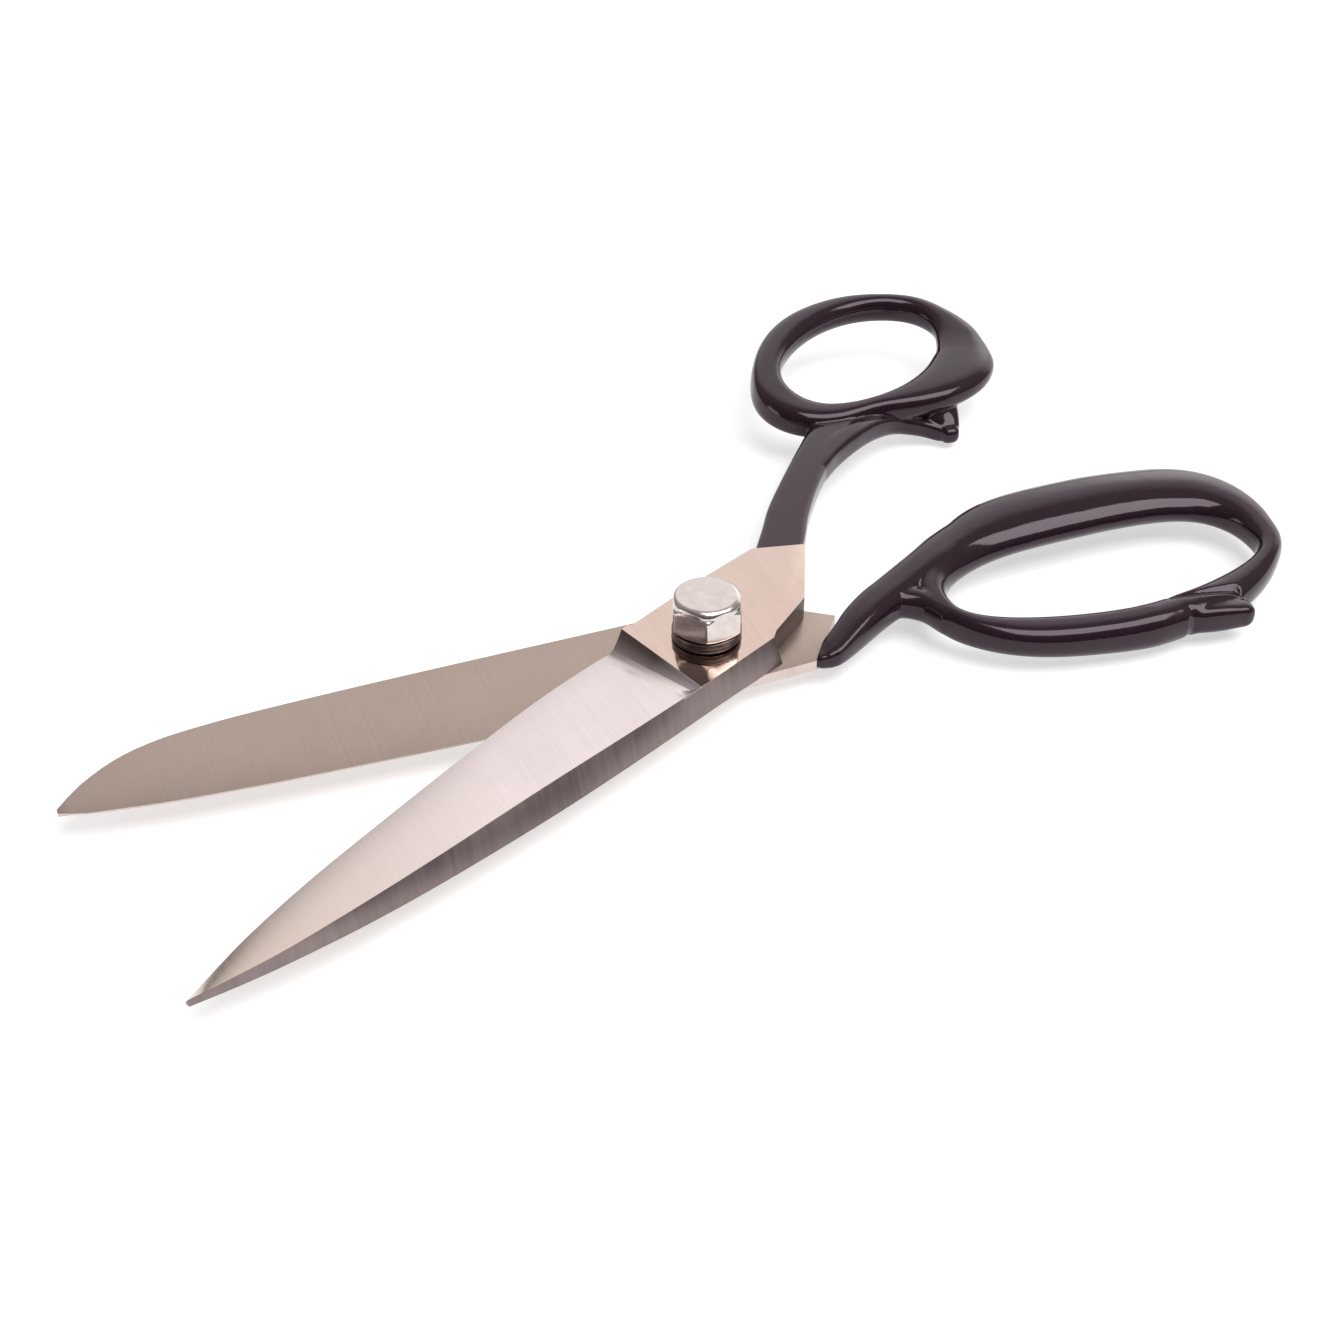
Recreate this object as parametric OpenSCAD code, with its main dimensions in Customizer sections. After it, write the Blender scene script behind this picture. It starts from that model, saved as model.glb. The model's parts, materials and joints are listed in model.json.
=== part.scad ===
// Fabric shears: two forged halves crossing at an adjustable hex-headed pivot bolt.
// The lower half carries the long finger bow, the upper half the thumb ring.
// Origin: pivot axis, on the plane that the shears rest on. +X runs to the lower blade's tip.

/* [Opening] */
// Angle between the two blades as drawn
open_angle = 25.9; // [2:0.1:60]
// Angle left between the blades when the stop meets the finger bow
closed_angle = 3.4; // [0:0.1:4]

/* [Blades] */
// Pivot axis to blade tip
blade_reach = 122; // [110:1:135]
// Thickness of the upper half at its boss
upper_t = 5; // [4:0.1:6]
// Thickness of the lower half at its boss
lower_t = 4; // [3:0.1:5]
// Thickness left at the cutting edges
edge_t = 0.35; // [0.2:0.05:0.6]
// Play between the two halves' inner faces
face_gap = 0.05; // [0.02:0.01:0.2]

/* [Pivot] */
// Diameter of the bolt's shoulder and shank
bolt_d = 8; // [6:0.5:10]
// Radial running clearance in the upper half's bore
bore_clear = 0.05; // [0.02:0.01:0.1]
// Hex head and lock nut, across flats
hex_af = 12.8; // [11:0.1:15]
// Height of the hex head
head_h = 7; // [5:0.1:9]
// Turn of the head about the pivot axis
head_turn = 8; // [0:1:60]
// Thickness of the spring washer
washer_t = 2.6; // [1.5:0.1:3]
// Outer diameter of the spring washer
washer_d = 13.3; // [12:0.1:16]
// Width of the cut in the spring washer
washer_cut = 1.2; // [0.8:0.1:2]
// Height of the lock nut
nut_h = 2.45; // [2:0.05:4]

/* [Finger bow] */
// Length and width of the finger hole
bow_hole = [68.8, 27];
// Middle of the finger hole
bow_mid = [-84.4, 4.9];
// Width of the bow's limb at its two ends
bow_limb = 6.3; // [5:0.1:8]
// How much wider the side nearest the thumb is
bow_swell = 8; // [4:0.1:9]

/* [Thumb ring] */
// Length and width of the thumb hole
ring_hole = [47, 29.5];
// Middle of the thumb hole, in the upper half's own axes
ring_mid = [-104.6, -44.4];
// Width of the ring's limb
ring_limb = 6.6; // [6:0.1:9]
// How much wider the thumb rest is
ring_swell = 7; // [0:0.1:8]

/* [Hidden] */

rest_drop = lower_t + nut_h + face_gap;     // the inner faces' plane above the resting plane
steel = [0.80, 0.76, 0.73];
boss_steel = [0.84, 0.75, 0.70];
enamel = [0.16, 0.13, 0.15];
zinc = [0.82, 0.81, 0.82];
fine = 96;                                  // fineness of the turned faces
bead_fn = 24;                               // fineness of the handles' limbs
thread_d = bolt_d;                          // shank below the shoulder

// Puts a half's own shapes, drawn about the plane where the blades meet, into the frame
module lower_half() { translate([0, 0, rest_drop]) children(); }
module upper_half() { translate([0, 0, rest_drop + face_gap]) rotate(open_angle) children(); }

// ---- Blades ----------------------------------------------------------------------------
// One station across a blade: x, cutting edge y, ridge y and height, spine y
// Each blade is drawn with its cutting edge towards -y and its inner face at z = 0
upper_stations = [
    [  9.5, -13.6, 10.0, 5.00, 11.9],
    [ 30.0, -13.7,  9.4, 5.00, 11.7],
    [ 52.0, -11.9,  8.3, 4.70, 11.0],
    [ 75.0,  -9.4,  7.3, 4.20,  9.3],
    [ 91.0,  -7.4,  6.1, 3.60,  7.4],
    [105.0,  -4.9,  4.5, 2.90,  4.9],
    [114.0,  -2.6,  2.6, 2.20,  2.8],
    [blade_reach, -0.2, 0.2, 1.20, 0.5]
];
lower_stations = [
    [  9.5,  -9.5, 12.6, 4.00, 15.0],
    [ 30.0,  -8.9, 12.9, 4.00, 15.2],
    [ 60.0,  -7.5, 13.0, 3.80, 15.4],
    [ 80.0,  -6.4, 12.6, 3.50, 15.2],
    [ 92.0,  -5.4, 11.9, 3.20, 14.7],
    [102.0,  -4.4, 10.8, 2.80, 13.5],
    [110.0,  -3.2,  8.8, 2.30, 10.8],
    [117.0,  -2.0,  4.6, 1.70,  6.0],
    [blade_reach, -0.2, 0.2, 1.20, 0.7]
];

// Blade solid through its stations: flat inner face at z = 0, ground face from edge to ridge
module blade(stations) {
    n = len(stations);
    rim = [for (s = stations) each [
        [s[0], s[1], 0], [s[0], s[1], edge_t], [s[0], s[2], s[3]], [s[0], s[4], 0]
    ]];
    sides = [for (i = [0 : n - 2]) for (j = [0 : 3])
        each [[4*i + j, 4*i + (j + 1) % 4, 4*i + 4 + (j + 1) % 4],
              [4*i + j, 4*i + 4 + (j + 1) % 4, 4*i + 4 + j]]];
    ends = [[3, 2, 1, 0], [4*n - 4, 4*n - 3, 4*n - 2, 4*n - 1]];
    polyhedron(rim, concat(sides, ends));
}

// Outline of a half's boss in its own axes, from the blade's root round to the handle's joint line
upper_joint = [[-36.5, -5.7], [-27.9, -12.6]];
upper_boss = [[9.5, 12.1], [-8, 12.3], [-10.4, 9.9], [-22, 6.0], upper_joint[0],
              upper_joint[1], [7, -12.6], [9.5, -13.2]];
spine_slope = [9.8, 12.2];                  // y of the spine's upper and lower corners at the boss
// Ends of the line where the boss steps down to the ground face
step_line = [[12.6, 10.4], [9.5, -13.2]];
step_run = 4;

module boss(outline, t) { linear_extrude(t) polygon(outline); }

// Long wedge that bevels the side of a boss: y of the bevel's corners, and its height
module bevel_cut(x, run, ys, h) {
    translate([x, 0, 0]) rotate([90, 0, 90]) linear_extrude(run)
        polygon([[ys[0], h + 0.01], [ys[0] + 6*sign(ys[1]), h + 0.01], [ys[1] + 6*sign(ys[1]), 0],
                 [ys[1], 0]]);
}

// Slope from the boss's flat top down to the ground face
module step_down(t) {
    hull() {
        linear_extrude(t) polygon([step_line[0], step_line[1], [8, -13.2], [8, 10.4]]);
        translate([step_run, 0, 0])
            linear_extrude(edge_t) polygon([step_line[0], step_line[1], [8, -13.2], [8, 10.4]]);
    }
}

tang = [16, 4, 1.8];                        // length, width, height of each tang
upper_tang_turn = 210;                      // heading of the upper tang in its own axes
upper_tang_at = [-30, -7.8, 1.6];
lower_joint = [[-19.0, 9.2], [-28.6, -2.8]];
lower_tang_turn = 208;
lower_tang_at = [-19.5, 4.5, -2];

module tang_bar(at, turn) {
    translate(at) rotate(turn) translate([0, -tang[1]/2, 0]) cube(tang);
}

module upper_blade() {
    color(boss_steel) upper_half() difference() {
        union() {
            blade(upper_stations);
            difference() {
                boss(upper_boss, upper_t);
                bevel_cut(-9, 19, spine_slope, upper_t);
            }
            step_down(upper_t);
            tang_bar(upper_tang_at, upper_tang_turn);
        }
        translate([0, 0, -1]) cylinder(d = bolt_d + 2*bore_clear, h = upper_t + 2, $fn = fine);
    }
}

// The lower half's boss, drawn face down like its blade
lower_boss = [[9.5, -9.5], [9.5, 15.0], [-10, 13.8], [-18, 10.0], [-24, 6.1],
              [lower_joint[1][0], -lower_joint[1][1]], [lower_joint[0][0], -lower_joint[0][1]]];
lower_side = 2.2;                           // height of the lower half's side above its bevel

module lower_blade() {
    color(steel) lower_half() difference() {
        union() {
            mirror([0, 0, 1]) mirror([0, 1, 0]) {
                blade(lower_stations);
                difference() {
                    boss(lower_boss, lower_t);
                    translate([0, 0, lower_side])
                        bevel_cut(-40, 60, [-6.4, -9.4], lower_t - lower_side);
                }
            }
            tang_bar(lower_tang_at, lower_tang_turn);
        }
        translate([0, 0, -lower_t - 1]) cylinder(d = thread_d, h = lower_t + 2, $fn = fine);
    }
}

// ---- Handles ---------------------------------------------------------------------------
// Flattened bead: the handles' limbs are chains of these. Exponent 2 is an ellipse across.
module bead(at, w, h, power = 2.6) {
    steps = 8;
    profile = [for (i = [0 : steps]) let (a = -90 + 180*i/steps, c = abs(cos(a)), s = abs(sin(a)))
        [w/2*pow(c, 2/power), sign(sin(a))*h/2*pow(s, 2/power)]];
    translate(at) rotate_extrude($fn = bead_fn) polygon(profile);
}

// Chain of beads; each row is [x, y, z, width, height]
module limb(rows, closed = false) {
    last = len(rows) - (closed ? 1 : 2);
    for (i = [0 : last]) let (a = rows[i], b = rows[(i + 1) % len(rows)]) hull() {
        bead([a[0], a[1], a[2]], a[3], a[4]);
        bead([b[0], b[1], b[2]], b[3], b[4]);
    }
}

// Point on a rounded loop of the given size; power 2 is an ellipse, more is squarer
function loop_point(size, t, power) = [
    sign(cos(t))*size[0]/2*pow(abs(cos(t)), 2/power),
    sign(sin(t))*size[1]/2*pow(abs(sin(t)), 2/power)];

// Middle of a limb of width w whose inner side runs along the edge from a to b at p
function beside(p, a, b, w) = p + [b[1] - a[1], a[0] - b[0]]/norm(b - a)*w/2;

bow_floor = -4.8;                           // underside of the bow, below the inner faces
bow_wave = 0.8;                             // the inner side's finger grooves
root_deep = 2.2;                            // depth of the shank's root beside the plate
stop_room = 0.35;                           // clearance round what comes close when closed

function bow_width(t) = bow_limb + bow_swell*pow(max(0, -sin(t)), 1.6) + 1.3*pow(max(0, sin(t)), 2);
function bow_height(t) = 10.6 - 2.1*sin(t) - 1.2*abs(cos(t));
// The hole is rounder at the end next to the plate's outer corner
function bow_edge(t) = bow_mid + loop_point(bow_hole, t, 2.45 - 0.4*cos(t - 45));
function bow_row(t) =
    let (w = bow_width(t),
         p = beside(bow_edge(t), bow_edge(t - 1), bow_edge(t + 1), w),
         wave = sin(t) < -0.6 ? bow_wave*cos(3*t + 90) : 0)
    [p[0], p[1] + wave, bow_floor + bow_height(t)/2, w, bow_height(t)];

module finger_handle() {
    bow_step = 10;
    shank = [[-28.6, 5.2, 1.0, 6.0, 7.4], [-33, 1.8, 0.9, 6.6, 7.8], [-41, -2.8, 0.9, 8.0, 8.8],
             [-51.5, -8.2, 1.2, 10.5, 10.6], [-60, -12.8, 1.8, 12, 12]];
    fork = [[-42, -1.0, 0.6, 6.5, 8.4], [-47.5, 4.0, 0, 6.5, 8.4]];
    stop = [[-90, 24.2, 0.2, 7, 7.0], [-98.5, 24.8, 0.8, 4.6, 5.4]];
    color(enamel) lower_half() difference() {
        union() {
            limb([for (t = [0 : bow_step : 359]) bow_row(t)], true);
            limb(shank);
            limb(fork);
            limb(stop);
            // Root of the shank: level with the plate at the joint line, rising behind it
            translate([0, 0, -root_deep]) linear_extrude(root_deep)
                polygon([lower_joint[0], lower_joint[1], [-33, -1.4], [-28, 7.6]]);
            hull() {
                translate([0, 0, -root_deep]) linear_extrude(root_deep)
                    polygon([[-20.2, 8.8], [-27.2, 0.8], [-31, 1.4], [-28, 7.6]]);
                bead([-28.6, 5.2, 1.0], 6.0, 7.4, 4);
            }
        }
        // Nothing of the handle laps over the plate's joint line
        translate([0, 0, -20]) linear_extrude(40)
            polygon([lower_joint[0], lower_joint[1], lower_joint[1] + [-4, -4.7], [12, -18],
                     [12, 22], lower_joint[0] + [6, 7.3]]);
        tang_bar(lower_tang_at, lower_tang_turn);
        // Seat that the thumb ring's stop bears on, and room for the other half's heel and shank
        rotate(closed_angle) {
            limb(grown(spur_rows, 2*stop_room));
            translate([0, 0, face_gap]) linear_extrude(upper_t + 1) offset(delta = stop_room)
                polygon(upper_boss);
        }
    }
}

ring_lift = [2.6, 0.05, 0.13];              // height at the shank, rise per mm back and outward
ring_turn = 7;                              // turn of the thumb hole's long axis
function ring_z(p) = ring_lift[0] + ring_lift[1]*max(0, -80 - p[0]) + ring_lift[2]*max(0, -30 - p[1]);
function ring_width(t) = ring_limb + ring_swell*exp(-pow((t - 122)/38, 2)) + 0.5*cos(t - 20);
function ring_height(t) = 5.6 + 0.8*cos(t - 30);
function turned(p, a) = [p[0]*cos(a) - p[1]*sin(a), p[0]*sin(a) + p[1]*cos(a)];
function ring_edge(t) = ring_mid + turned(loop_point(ring_hole, t, 2), ring_turn);
function ring_row(t) =
    let (w = ring_width(t), p = beside(ring_edge(t), ring_edge(t - 1), ring_edge(t + 1), w))
    [p[0], p[1], ring_z(p), w, ring_height(t)];

// Rows of a limb with every bead made wider and higher by d
function grown(rows, d) = [for (r = rows) [r[0], r[1], r[2], r[3] + d, r[4] + d]];

// Stop on the thumb ring, reaching down towards the finger bow
spur_rows = [[-93, -26.5, 2.2, 10, 6], [-99.5, -24.0, 0, 9, 5.6], [-103.8, -18.9, -3.6, 4.2, 4.6]];

module thumb_handle() {
    ring_step = 10;
    shank = [[-37.8, -12.4, 2.5, 7.6, 4.98], [-45, -17.4, 2.5, 7.8, 4.9], [-55, -22.4, 2.5, 7.8, 4.9],
             [-65, -26.4, 2.6, 9.2, 5.0], [-76, -28.8, 2.8, 10.6, 5.4], [-84, -28.4, 3.0, 10, 6]];
    color(enamel) upper_half() difference() {
        union() {
            limb([for (t = [0 : ring_step : 359]) ring_row(t)], true);
            limb(shank);
            limb(spur_rows);
            // Root of the shank, flush with the boss
            hull() {
                linear_extrude(upper_t)
                    polygon([upper_joint[0], upper_joint[1], upper_joint[1] + [-3, -1.6],
                             upper_joint[0] + [-3, -2.4]]);
                bead([-42, -15.4, 2.5], 7.0, 4.98, 6);
            }
        }
        tang_bar(upper_tang_at, upper_tang_turn);
    }
}

// ---- Pivot -----------------------------------------------------------------------------
head_base = rest_drop + 2*face_gap + upper_t + washer_t;
head_chamfer = 1.1;
hex_d = hex_af/cos(30);

// Hexagon with both rims turned to a cone
module chamfered_hex(h, top_dome) {
    intersection() {
        rotate(head_turn) cylinder(d = hex_d, h = h, $fn = 6);
        rotate_extrude($fn = fine) polygon([[0, 0], [hex_af/2, 0], [hex_d/2 + 0.05, head_chamfer*0.6],
            [hex_d/2 + 0.05, h - head_chamfer - top_dome], [hex_af/2 - 0.2, h - top_dome],
            [hex_af/4, h - top_dome*0.25], [0, h]]);
    }
}

// Head above the spring washer, and a shank dressed flush with the lock nut's underside
module pivot_bolt() {
    color(zinc) {
        translate([0, 0, head_base]) chamfered_hex(head_h, 0.9);
        cylinder(d = bolt_d, h = head_base, $fn = fine);
    }
}

module spring_washer() {
    color(zinc*0.7) translate([0, 0, rest_drop + 2*face_gap + upper_t]) difference() {
        cylinder(d = washer_d, h = washer_t, $fn = fine);
        translate([0, 0, -1]) cylinder(d = bolt_d + 0.2, h = washer_t + 2, $fn = fine);
        rotate(-60) translate([0, -washer_cut/2, -1]) cube([washer_d, washer_cut, washer_t + 2]);
    }
}

module lock_nut() {
    color(zinc*0.9) difference() {
        intersection() {
            rotate(head_turn) cylinder(d = hex_d, h = nut_h + face_gap, $fn = 6);
            rotate_extrude($fn = fine) polygon([[0, 0], [hex_af/2, 0], [hex_d/2 + 0.05, 0.7],
                [hex_d/2 + 0.05, nut_h + 1], [0, nut_h + 1]]);
        }
        translate([0, 0, -1]) cylinder(d = thread_d, h = nut_h + 2, $fn = fine);
    }
}

lower_blade();
upper_blade();
finger_handle();
thumb_handle();
pivot_bolt();
spring_washer();
lock_nut();
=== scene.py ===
import bpy
import bmesh
import json
import math
import numpy as np
from mathutils import Matrix, Vector


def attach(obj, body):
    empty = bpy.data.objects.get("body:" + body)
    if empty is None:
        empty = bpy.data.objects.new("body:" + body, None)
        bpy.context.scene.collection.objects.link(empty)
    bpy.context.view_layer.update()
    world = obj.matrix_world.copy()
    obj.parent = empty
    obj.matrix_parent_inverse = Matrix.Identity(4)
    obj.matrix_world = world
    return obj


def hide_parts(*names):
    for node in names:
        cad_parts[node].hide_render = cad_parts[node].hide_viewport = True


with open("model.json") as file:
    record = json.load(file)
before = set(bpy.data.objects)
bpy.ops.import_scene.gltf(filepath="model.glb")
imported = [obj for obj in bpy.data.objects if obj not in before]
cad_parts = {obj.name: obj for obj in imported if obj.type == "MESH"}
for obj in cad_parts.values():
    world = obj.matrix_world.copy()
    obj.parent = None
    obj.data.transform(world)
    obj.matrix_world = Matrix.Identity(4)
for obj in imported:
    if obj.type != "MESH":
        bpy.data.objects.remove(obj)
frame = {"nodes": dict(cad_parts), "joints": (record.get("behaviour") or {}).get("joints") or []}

MM = 0.001
scene = bpy.context.scene
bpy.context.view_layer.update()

# Sizes shared with the CAD, in millimetres. Each half is drawn about the plane where the blades
# meet, with the pivot axis at the origin, and is then put into the frame.
PIVOT = [v / MM for v in frame["joints"][0]["pos_m"]]
GAP = 0.05
OPEN = math.radians(25.9)
UPPER_T, LOWER_T = 5.0, 4.0
BORE_R, SHANK_R = 4.05, 4.0


# ---------------------------------------------------------------- placing and mesh helpers
def half_matrix(half):
    if half == "lower":
        return Matrix.Scale(MM, 4) @ Matrix.Translation((0, 0, PIVOT[2]))
    return (Matrix.Scale(MM, 4) @ Matrix.Translation((0, 0, PIVOT[2] + GAP))
            @ Matrix.Rotation(OPEN, 4, "Z"))


def new_object(name, verts, faces):
    me = bpy.data.meshes.new(name)
    me.from_pydata([tuple(v) for v in verts], [], faces)
    me.update()
    ob = bpy.data.objects.new(name, me)
    scene.collection.objects.link(ob)
    return ob


def bake(ob):
    """Turns the object's modifiers into plain geometry."""
    bpy.context.view_layer.update()
    done = bpy.data.meshes.new_from_object(ob.evaluated_get(bpy.context.evaluated_depsgraph_get()))
    ob.modifiers.clear()
    ob.data = done
    return ob


def drop(ob):
    bpy.data.objects.remove(ob, do_unlink=True)


def coords(ob):
    co = np.zeros(len(ob.data.vertices) * 3)
    ob.data.vertices.foreach_get("co", co)
    return co.reshape(-1, 3)


def set_coords(ob, co):
    ob.data.vertices.foreach_set("co", co.astype(np.float32).ravel())
    ob.data.update()


def fix_normals(ob):
    bm = bmesh.new()
    bm.from_mesh(ob.data)
    bmesh.ops.recalc_face_normals(bm, faces=bm.faces)
    bm.to_mesh(ob.data)
    bm.free()


def boolean(ob, tool, how):
    m = ob.modifiers.new("cut", "BOOLEAN")
    m.operation = how
    m.solver = "EXACT"
    m.object = tool
    bake(ob)
    drop(tool)
    return ob


def prism(name, outline, z0, z1):
    n = len(outline)
    verts = [(x, y, z) for z in (z0, z1) for x, y in outline]
    faces = [tuple(range(n))[::-1], tuple(range(n, 2 * n))]
    faces += [(i, (i + 1) % n, (i + 1) % n + n, i + n) for i in range(n)]
    ob = new_object(name, verts, faces)
    fix_normals(ob)
    return ob


def cylinder(name, r, z0, z1, n=128):
    ring = [(r * math.cos(2 * math.pi * i / n), r * math.sin(2 * math.pi * i / n)) for i in range(n)]
    return prism(name, ring, z0, z1)


def soften(ob, width, angle=24, segments=3):
    b = ob.modifiers.new("bevel", "BEVEL")
    b.width = width
    b.segments = segments
    b.limit_method = "ANGLE"
    b.angle_limit = math.radians(angle)
    b.use_clamp_overlap = True
    return bake(ob)


def shade(ob, angle=None):
    """Smooth shading, with edges sharper than the angle kept crisp."""
    for p in ob.data.polygons:
        p.use_smooth = True
    if angle:
        ob.data.set_sharp_from_angle(angle=math.radians(angle))


def finish_piece(ob, half, node, body):
    if half:
        ob.data.transform(half_matrix(half))
    ob.data.update()
    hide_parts(node)
    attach(ob, body)
    return ob


# ---------------------------------------------------------------- limbs
def spline(rows, step, closed):
    """Rows of numbers, led by x, y and z, filled in by a smooth curve through them."""
    p = np.array(rows, float)
    if closed:
        q = np.vstack([p[-1:], p, p[:2]])
    else:
        q = np.vstack([2 * p[0] - p[1], p, 2 * p[-1] - p[-2]])
    out = []
    for i in range(1, len(q) - 2):
        a, b, c, d = q[i - 1], q[i], q[i + 1], q[i + 2]
        n = max(2, int(np.linalg.norm(c[:2] - b[:2]) / step))
        for k in range(n):
            t = k / n
            out.append(0.5 * (2 * b + (c - a) * t + (2 * a - 5 * b + 4 * c - d) * t ** 2
                              + (3 * b - a - 3 * c + d) * t ** 3))
    if not closed:
        out.append(q[-2])
    return np.array(out)


CAP_ROWS = 7


def end_cap(row, tan, sign):
    """Rounded end of a tube: rows that close in beyond its last one."""
    cap = []
    for k in range(1, CAP_ROWS + 1):
        f = math.radians(90 * k / (CAP_ROWS + 1))
        r = row.copy()
        r[:2] += sign * tan * r[3] / 2 * math.sin(f)
        grow = math.cos(f) ** 0.7
        r[3] *= grow
        r[4] *= grow
        r[6:8] *= grow
        cap.append((r, tan))
    return cap


def sweep(rows, closed=False, step=1.0, around=44):
    """Tube through rows of x, y, z, width, height and power. A row may go on with the top's lean
    sideways, the outer side's rise, and a second power for the inner side."""
    p = spline([list(r) + [0] * (8 - len(r)) for r in rows], step, closed)
    if closed:
        tan = np.roll(p, -1, 0)[:, :2] - np.roll(p, 1, 0)[:, :2]
    else:
        tan = np.gradient(p[:, :2], axis=0)
    tan /= np.linalg.norm(tan, axis=1)[:, None]
    chain = list(zip(p, tan))
    if not closed:
        chain = end_cap(p[0], tan[0], -1)[::-1] + chain + end_cap(p[-1], tan[-1], 1)
    verts, faces = [], []
    for r, t in chain:
        side = np.array([t[1], -t[0]])
        for k in range(around):
            a = 2 * math.pi * k / around
            c, s = math.cos(a), math.sin(a)
            power = r[8] if len(r) > 8 and c < 0 else r[5]
            u = math.copysign(abs(c) ** (2 / power), c)
            v = math.copysign(abs(s) ** (2 / power), s)
            off = r[3] / 2 * u + r[6] * v
            verts.append((r[0] + side[0] * off, r[1] + side[1] * off,
                          r[2] + r[4] / 2 * v + r[7] * u))
    n = len(chain)
    for i in range(n if closed else n - 1):
        j = (i + 1) % n
        for k in range(around):
            l = (k + 1) % around
            faces.append((i * around + k, i * around + l, j * around + l, j * around + k))
    if not closed:
        faces.append(tuple(range(around))[::-1])
        faces.append(tuple(range((n - 1) * around, n * around)))
    return verts, faces


def smooth(ob, rounds):
    m = ob.modifiers.new("smooth", "SMOOTH")
    m.factor = 0.5
    m.iterations = rounds
    return bake(ob)


def forge(name, tubes, voxel, rounds):
    """Joins overlapping tubes into one skin and smooths the seams."""
    verts, faces = [], []
    for v, f in tubes:
        base = len(verts)
        verts += v
        faces += [tuple(i + base for i in q) for q in f]
    ob = new_object(name, verts, faces)
    fix_normals(ob)
    m = ob.modifiers.new("skin", "REMESH")
    m.mode = "VOXEL"
    m.voxel_size = voxel
    return smooth(ob, rounds)


def trim(ob, p, q):
    """Cuts the object off flat at the upright plane through p and q, keeping what is left of p to q."""
    d = Vector((q[0] - p[0], q[1] - p[1], 0)).normalized()
    bm = bmesh.new()
    bm.from_mesh(ob.data)
    geom = bm.verts[:] + bm.edges[:] + bm.faces[:]
    cut = bmesh.ops.bisect_plane(bm, geom=geom, plane_co=(p[0], p[1], 0),
                                 plane_no=(d.y, -d.x, 0), clear_outer=True)
    rim = [e for e in cut["geom_cut"] if isinstance(e, bmesh.types.BMEdge)]
    bmesh.ops.holes_fill(bm, edges=rim, sides=0)
    bmesh.ops.triangulate(bm, faces=[f for f in bm.faces if len(f.verts) > 4])
    bmesh.ops.recalc_face_normals(bm, faces=bm.faces)
    bm.to_mesh(ob.data)
    bm.free()
    return ob


def loop_point(size_xy, deg, power):
    c, s = math.cos(math.radians(deg)), math.sin(math.radians(deg))
    return np.array([math.copysign(size_xy[0] / 2 * abs(c) ** (2 / power), c),
                     math.copysign(size_xy[1] / 2 * abs(s) ** (2 / power), s)])


def beside(edge, deg, w):
    """Middle of a limb of width w whose inner side runs along the edge."""
    d = edge(deg + 1) - edge(deg - 1)
    return edge(deg) + np.array([d[1], -d[0]]) / np.linalg.norm(d) * w / 2


def sind(a):
    return math.sin(math.radians(a))


def cosd(a):
    return math.cos(math.radians(a))


def bump(x, mid, spread):
    away = (x - mid + 180) % 360 - 180
    return math.exp(-(away / spread) ** 2)


# ---------------------------------------------------------------- finger handle
BOW_MID, BOW_HOLE, BOW_FLOOR = np.array([-84.9, 4.9]), (69.2, 26.6), -4.8


def bow_edge(t):
    return BOW_MID + loop_point(BOW_HOLE, t, 2.3 + 0.8 * cosd(t - 255))


def bow_row(t):
    far = max(0, -sind(t))
    near = max(0, sind(t))
    w = (4.8 + 11.0 * far ** 1.6 + 3.2 * near ** 2 - 0.6 * bump(t, 10, 22) + 1.5 * bump(t, 46, 22)
         + 1.0 * bump(t, 122, 16) - 0.9 * bump(t, 162, 18) + 2.0 * bump(t, 190, 26)
         + 4.2 * bump(t, 222, 22) - 2.6 * bump(t, 308, 20))
    lift = 2.0 * (1 - bump(t, 95, 66))
    h = 9.9 - 0.9 * sind(t) + 0.5 * far - 1.2 * abs(cosd(t)) - 0.6 * near - lift
    p = beside(bow_edge, t, w)
    return [p[0], p[1], BOW_FLOOR + lift + h / 2, w, h, 2.4, 1.3 * far, -0.7 * far, 2.4 - 0.6 * far]


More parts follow.
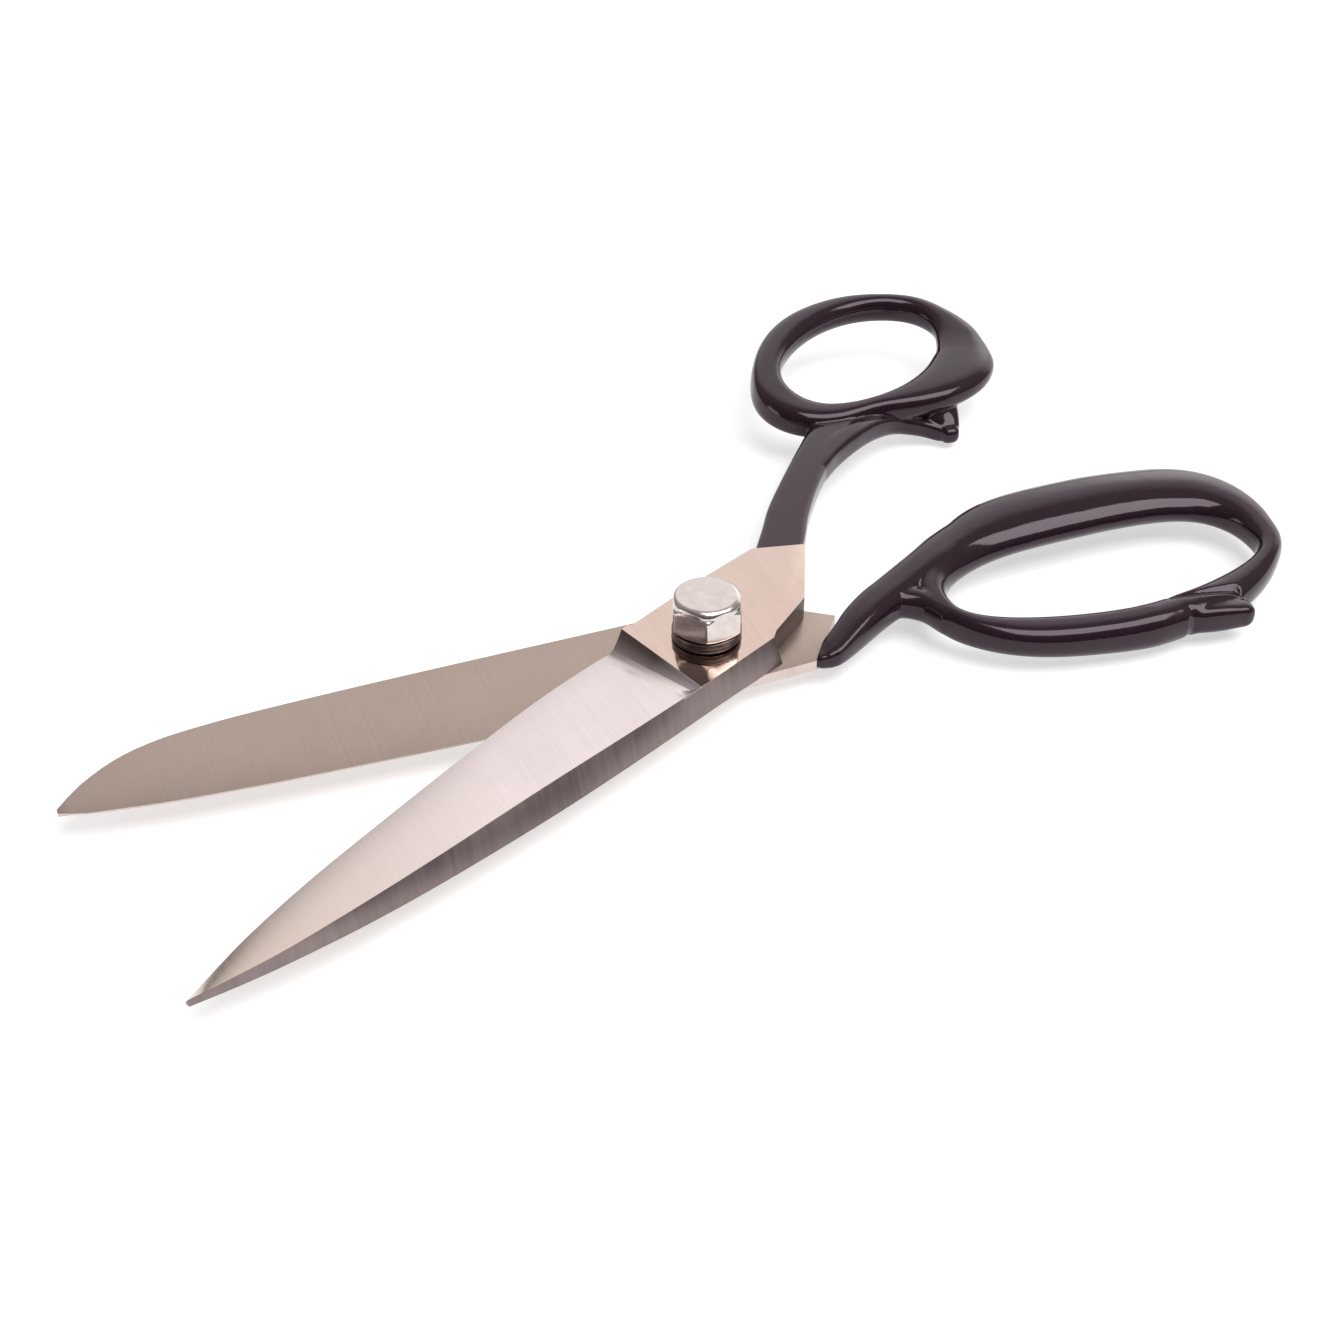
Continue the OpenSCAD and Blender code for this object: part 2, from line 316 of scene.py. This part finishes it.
def make_finger_handle():
    bow = sweep([bow_row(t) for t in range(0, 360, 8)], closed=True)
    shank = sweep([[-20.6, 7.9, -0.7, 4.0, 3.2, 5], [-22.8, 7.65, -0.4, 5.3, 4.4, 4],
                   [-27.0, 5.15, 0.0, 6.3, 6.0, 3.2], [-31.2, 2.3, 0.5, 7.5, 7.0, 2.9],
                   [-36.1, -0.7, 0.8, 8.2, 7.6, 2.7], [-41, -3.2, 0.9, 8.6, 7.8, 2.6],
                   [-51.5, -8.5, 1.3, 9.4, 8.2, 2.5], [-58, -11.8, 1.4, 10.6, 8.0, 2.5],
                   [-66, -14.9, 1.4, 10.8, 7.6, 2.5], [-76, -16.2, 1.2, 8.0, 6.4, 2.5]])
    fork = sweep([[-37.5, -2.2, 0.9, 5.0, 6.0, 2.2], [-42.2, -1.0, 0.9, 6.0, 6.4, 2.2],
                  [-46.0, 2.2, 0.7, 5.2, 6.4, 2.2], [-47.9, 7.2, 0.4, 4.4, 6.2, 2.3]])
    lug = sweep([[-90.5, 21.9, -0.8, 5.4, 5.6, 3], [-98, 23.8, -0.6, 5.8, 6.0, 3.4],
                 [-104.2, 25.2, -0.8, 4.6, 5.0, 3.6]])
    ob = forge("finger_handle_enamel", [bow, shank, fork, lug], voxel=0.36, rounds=12)
    co = coords(ob)
    # groove between the lug and the limb it stands on, fading in over the limb's outer side
    side_y, half = 20.5, 1.5
    d = np.abs(co[:, 0] + 92.2 + 0.3 * (co[:, 1] - 24))
    near = (co[:, 1] > side_y) & (d < half)
    fade = np.clip((co[near, 1] - side_y) / 3, 0, 1)
    co[near, 1] -= 0.45 * (1 - (d[near] / half) ** 2) ** 2 * fade
    # shallow furrow above the lug
    line = co[:, 1] - (20.4 + (co[:, 0] + 96) * -0.16)
    band = (co[:, 0] < -90) & (co[:, 0] > -105) & (np.abs(line) < half) & (co[:, 2] > -1)
    co[band, 2] -= 0.8 * (1 - (line[band] / half) ** 2) ** 2
    set_coords(ob, co)
    smooth(ob, 2)
    trim(ob, (-28.6, -2.8), (-19.0, 9.2))
    shade(ob)
    return finish_piece(ob, "lower", "finger_handle", "finger_half")


# ---------------------------------------------------------------- thumb handle
RING_MID, RING_HOLE, RING_TURN = np.array([-103.1, -44.0]), (46.6, 27.6), 0.5


def ring_edge(t):
    p = loop_point(RING_HOLE, t, 2)
    return RING_MID + np.array([p[0] * cosd(RING_TURN) - p[1] * sind(RING_TURN),
                                p[0] * sind(RING_TURN) + p[1] * cosd(RING_TURN)])


def ring_row(t):
    rest = bump(t, 121, 38 if t < 121 else 27)
    w = (6.5 + 8.0 * rest - 1.8 * bump(t, 58, 20) + 1.8 * bump(t, 5, 26) + 1.4 * bump(t, 275, 30)
         + 1.8 * bump(t, 155, 14) - 1.6 * bump(t, 212, 24))
    h = 6.6 - 1.4 * bump(t, 140, 30)
    p = beside(ring_edge, t, w)
    z = 2.6 + 0.05 * max(0, -80 - p[0]) + 0.13 * max(0, -30 - p[1])
    wall = bump(t, 355, 45)
    return [p[0], p[1], z, w, h, 2.3 + 0.5 * rest + 0.8 * wall, -0.8 * wall, -0.2 * rest]


def make_thumb_handle():
    ring = sweep([ring_row(t) for t in range(0, 360, 9)], closed=True)
    shank = sweep([[-30, -7.6, 2.5, 9.6, 5.0, 7], [-37.8, -12.4, 2.5, 9.2, 5.0, 7],
                   [-45, -17.0, 2.5, 8.8, 5.0, 6], [-55, -22.2, 2.5, 8.1, 5.0, 6],
                   [-65, -26.7, 2.4, 8.3, 5.0, 5], [-74, -29.6, 2.2, 10.2, 5.0, 5],
                   [-82, -32.2, 2.0, 10, 5.0, 4], [-90, -32.6, 1.8, 6, 4.6, 3]])
    web = sweep([[-57.5, -21.9, 2.3, 3.6, 4.6, 5], [-64, -24.3, 2.4, 4.8, 5.0, 5],
                 [-70, -25.9, 2.4, 5, 5.0, 5], [-78, -27.0, 2.3, 5.2, 5.0, 4],
                 [-86.2, -27.6, 1.5, 5.2, 5.2, 3.4], [-93.6, -26.8, 0, 5, 5.0, 3],
                 [-99.4, -23.4, -1.9, 4.6, 4.6, 3], [-102.4, -19.8, -3.4, 3.6, 4.2, 3]])
    spur = sweep([[-106.4, -25.4, 3.0, 6.0, 4.4, 2.5], [-105.4, -23.2, 1.9, 8.8, 5.0, 2.5],
                  [-104.9, -21.2, 0.3, 8.4, 4.8, 2.6], [-104.1, -18.9, -2.1, 6.2, 4.4, 3],
                  [-103.3, -17.6, -3.4, 4.4, 4.2, 3]])
    ob = forge("thumb_handle_enamel", [ring, shank, web, spur], voxel=0.32, rounds=6)
    trim(ob, (-27.9, -12.6), (-36.5, -5.7))
    shade(ob)
    return finish_piece(ob, "upper", "thumb_handle", "thumb_half")


# ---------------------------------------------------------------- blades
def loft(name, stations, edge_t):
    """Blade along smooth lines through its stations: x, edge y, ridge y, ridge z, spine y."""
    p = spline(stations, 2.0, False)
    verts = []
    for x, e, ry, rz, sy in p:
        verts += [(x, e, 0), (x, e, edge_t), (x, ry, rz), (x, sy, 0)]
    n = len(p)
    faces = [(3, 2, 1, 0), (4 * n - 4, 4 * n - 3, 4 * n - 2, 4 * n - 1)]
    for i in range(n - 1):
        for j in range(4):
            k = (j + 1) % 4
            faces.append((4 * i + j, 4 * i + k, 4 * i + 4 + k, 4 * i + 4 + j))
    ob = new_object(name, verts, faces)
    fix_normals(ob)
    return ob


UPPER_STATIONS = [[-8, -9.0, 10.0, 5.0, 12.3], [0, -11.0, 10.0, 5.0, 12.1],
                  [9.5, -13.5, 10.0, 5.0, 11.9], [30, -13.7, 9.4, 5.0, 11.7], [52, -11.9, 8.3, 4.7, 11.0],
                  [75, -9.4, 7.3, 4.2, 9.3], [91, -7.4, 6.1, 3.6, 7.4], [105, -4.9, 4.5, 2.9, 4.9],
                  [114, -2.6, 2.6, 2.2, 2.8], [121.8, -0.3, 0.3, 1.2, 0.6]]
LOWER_STATIONS = [[8.5, -9.5, 12.6, 4.0, 15.0], [30, -8.9, 12.9, 4.0, 15.2], [60, -7.5, 13.0, 3.8, 15.4],
                  [80, -6.4, 12.6, 3.5, 15.2], [92, -5.4, 11.9, 3.2, 14.7], [102, -4.4, 10.8, 2.8, 13.5],
                  [110, -3.2, 8.8, 2.3, 10.8], [117, -2.0, 4.6, 1.7, 6.0], [121.8, -0.3, 0.3, 1.2, 0.8]]
EDGE_T = 0.35
# Where the upper boss steps down: x of the ramp's root and of the step at the edge side, how much
# farther out it lies at the spine side, and the ramp's length and hollowness
ROOT_X, STEP_X, STEP_SLANT, STEP_RUN, STEP_HOLLOW = 7.5, 9.5, 3.1, 5.0, 2.2


def side_cut(name, x0, x1, ya, yb, z0, z1):
    """Wedge that slopes the side of a boss between (ya, z1) and (yb, z0)."""
    s = math.copysign(6, yb)
    ring = [(ya, z1 + 0.02), (ya + s, z1 + 0.02), (yb + s, z0), (yb, z0)]
    verts = [(x, y, z) for x in (x0, x1) for y, z in ring]
    faces = [(0, 1, 2, 3), (7, 6, 5, 4)]
    faces += [(i, (i + 1) % 4, (i + 1) % 4 + 4, i + 4) for i in range(4)]
    ob = new_object(name, verts, faces)
    fix_normals(ob)
    return ob


def make_upper_blade():
    outline = [(9.5, 10.0), (-8, 10.0), (-10.0, 8.9), (-22, 6.0), (-36.5, -5.7), (-27.9, -12.6),
               (-12, -13.1), (7, -12.6), (9.5, -13.2)]
    boss = prism("boss", outline, 0, UPPER_T)
    # where the grinding wheel ran out: a hollow that is steep at the boss and dies into the blade
    verts, cols = [], 9
    for near, y in ((0, -13.2), (1, 10.0)):
        x0 = STEP_X + STEP_SLANT * near
        low = EDGE_T if near == 0 else UPPER_T - 0.05
        verts.append((ROOT_X, y, UPPER_T))
        for k in range(cols):
            f = k / (cols - 1)
            verts.append((x0 + STEP_RUN * f, y, low + (UPPER_T - low) * (1 - f) ** STEP_HOLLOW))
        verts += [(x0 + STEP_RUN, y, 0), (ROOT_X, y, 0)]
    n = cols + 3
    faces = [tuple(range(n)), tuple(range(n, 2 * n))[::-1]]
    faces += [(i, (i + 1) % n, (i + 1) % n + n, i + n) for i in range(n)]
    ramp = new_object("ramp", verts, faces)
    fix_normals(ramp)
    ob = loft("upper_blade_steel", UPPER_STATIONS, EDGE_T)
    boolean(ob, boss, "UNION")
    boolean(ob, ramp, "UNION")
    boolean(ob, cylinder("bore", BORE_R, -1, UPPER_T + 1), "DIFFERENCE")
    return ob


def make_lower_blade():
    outline = [(9.5, -9.5), (9.5, 15.0), (-10, 13.8), (-18, 10.0), (-24, 6.1), (-28.6, 2.8),
               (-19.0, -9.2), (-6, -9.6)]
    boss = prism("plate", outline, 0, LOWER_T)
    boolean(boss, side_cut("side_bevel", -40, 20, -6.4, -9.4, 2.2, LOWER_T), "DIFFERENCE")
    ob = loft("lower_blade_steel", LOWER_STATIONS, EDGE_T)
    boolean(ob, boss, "UNION")
    boolean(ob, cylinder("bore", SHANK_R, -1, LOWER_T + 1), "DIFFERENCE")
    ob.data.transform(Matrix.Diagonal((1, -1, -1, 1)))
    fix_normals(ob)
    return ob


# ---------------------------------------------------------------- pivot
HEX_AF, HEAD_H, HEAD_TURN = 12.8, 7.0, math.radians(8)
# Rise of the head's domed top, how far in its chamfer ends, and the round between the two
HEAD_DOME, HEAD_CHAMFER, HEAD_ROUND = 0.2, 1.2, 1.5
WASHER_T, WASHER_D = 2.6, 13.3
HEAD_BASE = PIVOT[2] + 2 * GAP + UPPER_T + WASHER_T


def soft_min(a, b, k):
    return -k * math.log(math.exp(-a / k) + math.exp(-b / k))


def hex_radius(a, corner):
    """Distance from the axis to a hexagon's side at an angle, with rounded corners."""
    facing = [math.cos(a - HEAD_TURN - math.pi / 6 - i * math.pi / 3) for i in range(6)]
    best = [HEX_AF / 2 / c for c in facing if c > 0.3]
    m = best[0]
    for b in best[1:]:
        m = soft_min(m, b, corner)
    return m


def make_bolt():
    """Forged hex head, softly chamfered above and below, on a plain shank."""
    around = 240
    profile = []
    for k in range(65):
        z = (HEAD_H - HEAD_DOME) * (1 - (1 - k / 64) ** 1.6)
        top = HEAD_H - HEAD_DOME - z
        if top < HEAD_ROUND:
            cone = HEX_AF / 2 - HEAD_CHAMFER + math.sqrt(HEAD_ROUND ** 2 - (HEAD_ROUND - top) ** 2)
        else:
            cone = HEX_AF / 2 + 0.3 + (top - HEAD_ROUND) * 1.2
        foot = HEX_AF / 2 + 0.1 + 1.6 * z
        profile.append((z, cone, foot))
    verts, faces = [], []
    turn = [2 * math.pi * i / around for i in range(around)]
    shank = SHANK_R - 0.02
    for z in (0.0, HEAD_BASE):
        verts += [(shank * math.cos(a), shank * math.sin(a), z) for a in turn]
    rings = 2
    for z, cone, foot in profile:
        for a in turn:
            r = soft_min(hex_radius(a, 0.12), min(cone, foot), 0.12)
            verts.append((r * math.cos(a), r * math.sin(a), HEAD_BASE + z))
        rings += 1
    # gently domed top
    for f in (0.93, 0.8, 0.6, 0.35, 0.12):
        for a in turn:
            r = f * (HEX_AF / 2 - HEAD_CHAMFER)
            verts.append((r * math.cos(a), r * math.sin(a), HEAD_BASE + HEAD_H - HEAD_DOME * f * f))
        rings += 1
    for j in range(rings - 1):
        for i in range(around):
            k = (i + 1) % around
            faces.append((j * around + i, j * around + k, (j + 1) * around + k, (j + 1) * around + i))
    faces.append(tuple(range(around))[::-1])
    faces.append(tuple(range((rings - 1) * around, rings * around)))
    ob = new_object("pivot_bolt_zinc", verts, faces)
    fix_normals(ob)
    ob.data.transform(Matrix.Scale(MM, 4))
    shade(ob, 50)
    return finish_piece(ob, None, "pivot_bolt", "finger_half")


def make_washer():
    """Spring washer of nearly two coils, its ends square."""
    turns, thick, inner = 1.94, 1.22, SHANK_R + 0.12
    outer = WASHER_D / 2
    base = PIVOT[2] + 2 * GAP + UPPER_T
    rise = WASHER_T - thick
    n, corner = 260, 0.28
    flat, climb = 0.06, 0.88    # shares of the wire's length: level at its start, rising after that
    ring = []
    for cx, cz, a0 in ((outer - corner, thick - corner, 0), (inner + corner, thick - corner, 90),
                       (inner + corner, corner, 180), (outer - corner, corner, 270)):
        for k in range(5):
            a = math.radians(a0 + 22.5 * k)
            ring.append((cx + corner * math.cos(a), cz + corner * math.sin(a)))
    m = len(ring)
    verts, faces = [], []
    for i in range(n + 1):
        f = i / n
        a = 2 * math.pi * turns * f + math.radians(-60)
        lift = rise * min(1.0, max(0.0, (f - flat) / climb))
        verts += [(r * math.cos(a), r * math.sin(a), base + lift + z) for r, z in ring]
    for i in range(n):
        for k in range(m):
            l = (k + 1) % m
            faces.append((i * m + k, i * m + l, (i + 1) * m + l, (i + 1) * m + k))
    faces.append(tuple(range(m))[::-1])
    faces.append(tuple(range(n * m, (n + 1) * m)))
    ob = new_object("spring_washer_steel", verts, faces)
    fix_normals(ob)
    ob.data.transform(Matrix.Scale(MM, 4))
    shade(ob, 40)
    return finish_piece(ob, None, "spring_washer", "finger_half")


# ---------------------------------------------------------------- materials
def material(name, color, metallic, rough):
    m = bpy.data.materials.new(name)
    m.use_nodes = True
    bsdf = m.node_tree.nodes["Principled BSDF"]
    bsdf.inputs["Base Color"].default_value = (*color, 1)
    bsdf.inputs["Metallic"].default_value = metallic
    bsdf.inputs["Roughness"].default_value = rough
    return m, m.node_tree, bsdf


def add_noise(tree, scale_xyz, detail=4.0, rough=0.55, turn=0.0):
    """Noise in the piece's own space, in metres; the scale is in cycles per metre."""
    pos = tree.nodes.new("ShaderNodeTexCoord")
    mp = tree.nodes.new("ShaderNodeMapping")
    mp.inputs["Rotation"].default_value = (0, 0, turn)
    mp.inputs["Scale"].default_value = scale_xyz
    nz = tree.nodes.new("ShaderNodeTexNoise")
    nz.inputs["Scale"].default_value = 1.0
    nz.inputs["Detail"].default_value = detail
    nz.inputs["Roughness"].default_value = rough
    tree.links.new(pos.outputs["Object"], mp.inputs["Vector"])
    tree.links.new(mp.outputs["Vector"], nz.inputs["Vector"])
    return nz.outputs[0]


def add_range(tree, value, low, high, lo_in=0.3, hi_in=0.7):
    r = tree.nodes.new("ShaderNodeMapRange")
    for key, v in (("From Min", lo_in), ("From Max", hi_in), ("To Min", low), ("To Max", high)):
        r.inputs[key].default_value = v
    tree.links.new(value, r.inputs["Value"])
    return r.outputs["Result"]


def add_tint(tree, bsdf, value, dark, light):
    mix = tree.nodes.new("ShaderNodeMix")
    mix.data_type = "RGBA"
    mix.inputs[6].default_value = (*dark, 1)
    mix.inputs[7].default_value = (*light, 1)
    tree.links.new(value, mix.inputs[0])
    tree.links.new(mix.outputs[2], bsdf.inputs["Base Color"])


def add_bump(tree, bsdf, value, depth, after=None):
    b = tree.nodes.new("ShaderNodeBump")
    b.inputs["Strength"].default_value = 1.0
    b.inputs["Distance"].default_value = depth
    tree.links.new(value, b.inputs["Height"])
    if after:
        tree.links.new(after, b.inputs["Normal"])
    tree.links.new(b.outputs["Normal"], bsdf.inputs["Normal"])
    return b.outputs["Normal"]


def steel(name, dark, light, rough, grain, turn):
    """Ground steel: fine scratches across the turn direction, slow cloudy wear, uneven polish."""
    m, t, b = material(name, light, 1.0, rough[0])
    scratch = add_noise(t, (grain, 40, 40), 3, 0.6, turn)
    cloud = add_noise(t, (70, 70, 70), 3)
    mix = t.nodes.new("ShaderNodeMath")
    mix.operation = "MULTIPLY_ADD"
    t.links.new(scratch, mix.inputs[0])
    mix.inputs[1].default_value = 0.5
    half = t.nodes.new("ShaderNodeMath")
    half.operation = "MULTIPLY"
    half.inputs[1].default_value = 0.5
    t.links.new(cloud, half.inputs[0])
    t.links.new(half.outputs[0], mix.inputs[2])
    both = mix.outputs[0]
    add_tint(t, b, add_range(t, both, 0, 1, 0.30, 0.70), dark, light)
    t.links.new(add_range(t, both, rough[0], rough[1]), b.inputs["Roughness"])
    add_bump(t, b, scratch, 0.000004)
    return m


def add_colour_patch(m, turn, color, xs, ys):
    """Patch of colour blended into a ground face, used both for a tint and for painted shade. Each of xs
    and ys says where it is full and where it is gone, in metres along and across the blade once the blade
    is turned back by turn."""
    t = m.node_tree
    b = t.nodes["Principled BSDF"]
    place = t.nodes.new("ShaderNodeTexCoord")
    map_to = t.nodes.new("ShaderNodeMapping")
    map_to.inputs["Rotation"].default_value = (0, 0, -turn)
    t.links.new(place.outputs["Object"], map_to.inputs["Vector"])
    axes = t.nodes.new("ShaderNodeSeparateXYZ")
    t.links.new(map_to.outputs["Vector"], axes.inputs["Vector"])
    both = t.nodes.new("ShaderNodeMath")
    both.operation = "MULTIPLY"
    for k, (axis, (full, gone)) in enumerate((("X", xs), ("Y", ys))):
        fade = add_range(t, axes.outputs[axis], 0, 1, gone, full)
        t.links.new(fade, both.inputs[k])
    mix = t.nodes.new("ShaderNodeMix")
    mix.data_type = "RGBA"
    t.links.new(both.outputs["Value"], mix.inputs[0])
    t.links.new(b.inputs["Base Color"].links[0].from_socket, mix.inputs[6])
    mix.inputs[7].default_value = (*color, 1)
    t.links.new(mix.outputs[2], b.inputs["Base Color"])


def enamel():
    m, t, b = material("enamel_black", (0.012, 0.006, 0.009), 0.0, 0.12)
    b.inputs["IOR"].default_value = 1.45
    b.inputs["Specular Tint"].default_value = (1, 0.86, 0.95, 1)
    peel = add_noise(t, (130, 130, 130), 2, 0.4)
    fine = add_noise(t, (2600, 2600, 2600), 3, 0.6)
    t.links.new(add_range(t, add_noise(t, (120, 120, 120), 4), 0.06, 0.12), b.inputs["Roughness"])
    add_tint(t, b, add_range(t, fine, 0, 1, 0.35, 0.75), (0.015, 0.006, 0.011), (0.024, 0.011, 0.018))
    n = add_bump(t, b, peel, 0.00010)
    add_bump(t, b, fine, 0.0000012, n)
    return m


def zinc(name, dark, light, rough, depth):
    m, t, b = material(name, light, 1.0, rough[0])
    mottle = add_noise(t, (420, 420, 420), 5, 0.6)
    pits = add_noise(t, (1500, 1500, 1500), 3, 0.6)
    add_tint(t, b, add_range(t, mottle, 0, 1, 0.34, 0.66), dark, light)
    t.links.new(add_range(t, pits, rough[0], rough[1]), b.inputs["Roughness"])
    n = add_bump(t, b, mottle, depth)
    add_bump(t, b, pits, depth * 0.25, n)
    return m


M_BOSS = steel("steel_boss", (0.60, 0.46, 0.395), (0.68, 0.53, 0.46), (0.08, 0.15), 900, 0)
M_FACE = steel("steel_ground_face", (0.70, 0.62, 0.61), (0.82, 0.73, 0.72), (0.16, 0.26), 2200, OPEN)
# a warm tint that grows towards the point, over the whole width
add_colour_patch(M_FACE, OPEN, (0.62, 0.51, 0.44), (0.118, 0.052), (0.03, 0.2))
# painted shade: a dark band along the foot of the step, whose line leans across the blade
STEP_LEAN = math.radians(7.6)
add_colour_patch(M_FACE, OPEN - STEP_LEAN, (0.14, 0.10, 0.085), (0.0112, 0.0168), (-0.001, 0.009))
M_INNER = steel("steel_inner_face", (0.37, 0.295, 0.25), (0.45, 0.36, 0.31), (0.30, 0.42), 1400, 0)
M_SPINE = steel("steel_spine", (0.20, 0.16, 0.155), (0.30, 0.25, 0.24), (0.34, 0.46), 900, OPEN)
M_SIDE = steel("steel_side", (0.55, 0.46, 0.42), (0.68, 0.58, 0.54), (0.22, 0.34), 900, 0)
M_ENAMEL = enamel()
M_ZINC = zinc("zinc_head", (0.60, 0.54, 0.51), (0.70, 0.63, 0.60), (0.17, 0.26), 0.000006)
M_DARK = zinc("zinc_dark", (0.10, 0.075, 0.07), (0.19, 0.15, 0.14), (0.28, 0.45), 0.00001)

# ---------------------------------------------------------------- the pieces
finger_handle = make_finger_handle()
finger_handle.data.materials.append(M_ENAMEL)
thumb_handle = make_thumb_handle()
thumb_handle.data.materials.append(M_ENAMEL)

upper = make_upper_blade()
soften(upper, 0.22)
for mat in (M_BOSS, M_FACE, M_SPINE, M_INNER):
    upper.data.materials.append(mat)
BOSS, FACE, SPINE, INNER = range(4)
for p in upper.data.polygons:
    c, n = p.center, p.normal
    if n.z > 0.995 and c.x < 12.8:
        p.material_index = BOSS
    elif 8 < c.x < 18 and n.x > 0.22 and n.z > 0.2:
        p.material_index = FACE         # the ramp below the step
    elif n.z > 0.5:
        p.material_index = FACE if c.x > 9 else BOSS
    elif n.z < -0.5:
        p.material_index = INNER
    else:
        p.material_index = SPINE
shade(upper, 20)
finish_piece(upper, "upper", "upper_blade", "thumb_half")

lower = make_lower_blade()
soften(lower, 0.18)
for mat in (M_INNER, M_SIDE):
    lower.data.materials.append(mat)
for p in lower.data.polygons:
    p.material_index = 0 if p.normal.z > 0.9 else 1
shade(lower, 20)
finish_piece(lower, "lower", "lower_blade", "finger_half")

bolt = make_bolt()
bolt.data.materials.append(M_ZINC)
washer = make_washer()
washer.data.materials.append(M_DARK)
nut = frame["nodes"]["lock_nut"]
nut.data.materials.clear()
nut.data.materials.append(M_ZINC)
edge = nut.modifiers.new("bevel", "BEVEL")
edge.width = 0.0002
edge.segments = 2
edge.limit_method = "ANGLE"
edge.angle_limit = math.radians(25)

# ---------------------------------------------------------------- stage, light and camera
cam = bpy.data.cameras.new("camera")
cam_ob = bpy.data.objects.new("camera", cam)
scene.collection.objects.link(cam_ob)
cam_ob.location = (0.11986, 0.28027, 0.2373)
target = Vector((0.00837, -0.00026, 0.0065))
cam_ob.rotation_euler = (target - cam_ob.location).to_track_quat("-Z", "Y").to_euler()
cam.lens = 54.135
cam.sensor_width = 36
cam.clip_start = 0.01
scene.camera = cam_ob

bpy.ops.mesh.primitive_plane_add(size=8)
floor = bpy.context.object
floor.name = "floor"
fm, ft, fb = material("floor_paper", (0.62, 0.62, 0.62), 0.0, 0.7)
fb.inputs["Emission Color"].default_value = (1, 1, 1, 1)
fb.inputs["Emission Strength"].default_value = 0.55
ft.links.new(add_range(ft, add_noise(ft, (600, 600, 600)), 0.62, 0.8), fb.inputs["Roughness"])
add_bump(ft, fb, add_noise(ft, (900, 900, 900)), 0.00002)
floor.data.materials.append(fm)

# Studio: even light all round, bright patches behind and to the sides, darker towards the camera
w = bpy.data.worlds.new("studio")
scene.world = w
w.use_nodes = True
wt = w.node_tree
sky = wt.nodes.new("ShaderNodeTexCoord")


def glow(direction, inner, outer, strength, color):
    """Soft round patch of light in the surroundings, from inner to outer degrees off its middle."""
    dot = wt.nodes.new("ShaderNodeVectorMath")
    dot.operation = "DOT_PRODUCT"
    dot.inputs[1].default_value = Vector(direction).normalized()
    wt.links.new(sky.outputs["Generated"], dot.inputs[0])
    r = wt.nodes.new("ShaderNodeMapRange")
    r.interpolation_type = "SMOOTHSTEP"
    for key, v in (("From Min", cosd(outer)), ("From Max", cosd(inner)),
                   ("To Min", 0), ("To Max", strength)):
        r.inputs[key].default_value = v
    wt.links.new(dot.outputs["Value"], r.inputs["Value"])
    tint = wt.nodes.new("ShaderNodeVectorMath")
    tint.operation = "SCALE"
    tint.inputs[0].default_value = color
    wt.links.new(r.outputs["Result"], tint.inputs["Scale"])
    return tint.outputs["Vector"]


total = None
for part in (glow((0, 0, 1), 0, 180, 0.44, (1, 0.95, 0.98)),
             glow((-0.26, -0.82, 0.50), 17, 38, 0.78, (1, 0.99, 0.98)),
             glow((-0.8, -0.55, 0.18), 10, 28, 1.2, (1, 0.97, 0.98)),
             glow((0.98, -0.15, 0.05), 6, 20, 2.2, (1, 0.98, 0.98)),
             glow((0.85, 0.2, 0.6), 15, 50, -0.22, (1, 1, 1)),
             glow((0.0, 1.0, 0.15), 20, 55, -0.22, (1, 1, 1))):
    if total is None:
        total = part
    else:
        add = wt.nodes.new("ShaderNodeVectorMath")
        add.operation = "ADD"
        wt.links.new(total, add.inputs[0])
        wt.links.new(part, add.inputs[1])
        total = add.outputs["Vector"]
wt.links.new(total, wt.nodes["Background"].inputs["Color"])
wt.nodes["Background"].inputs["Strength"].default_value = 1.0


def softbox(name, at, aim, sx, sy, watts):
    data = bpy.data.lights.new(name, "AREA")
    data.shape = "RECTANGLE"
    data.size, data.size_y = sx, sy
    data.energy = watts
    ob = bpy.data.objects.new(name, data)
    scene.collection.objects.link(ob)
    z = (Vector(at) - Vector(aim)).normalized()
    y = (Vector((0, 1, 0)) - z * z.y).normalized()
    x = y.cross(z)
    ob.matrix_world = Matrix.Translation(at) @ Matrix((x, y, z)).transposed().to_4x4()


softbox("overhead", (-0.30, 0.34, 0.92), (-0.085, 0, 0.01), 1.0, 0.62, 9.4)

scene.view_settings.view_transform = "Standard"
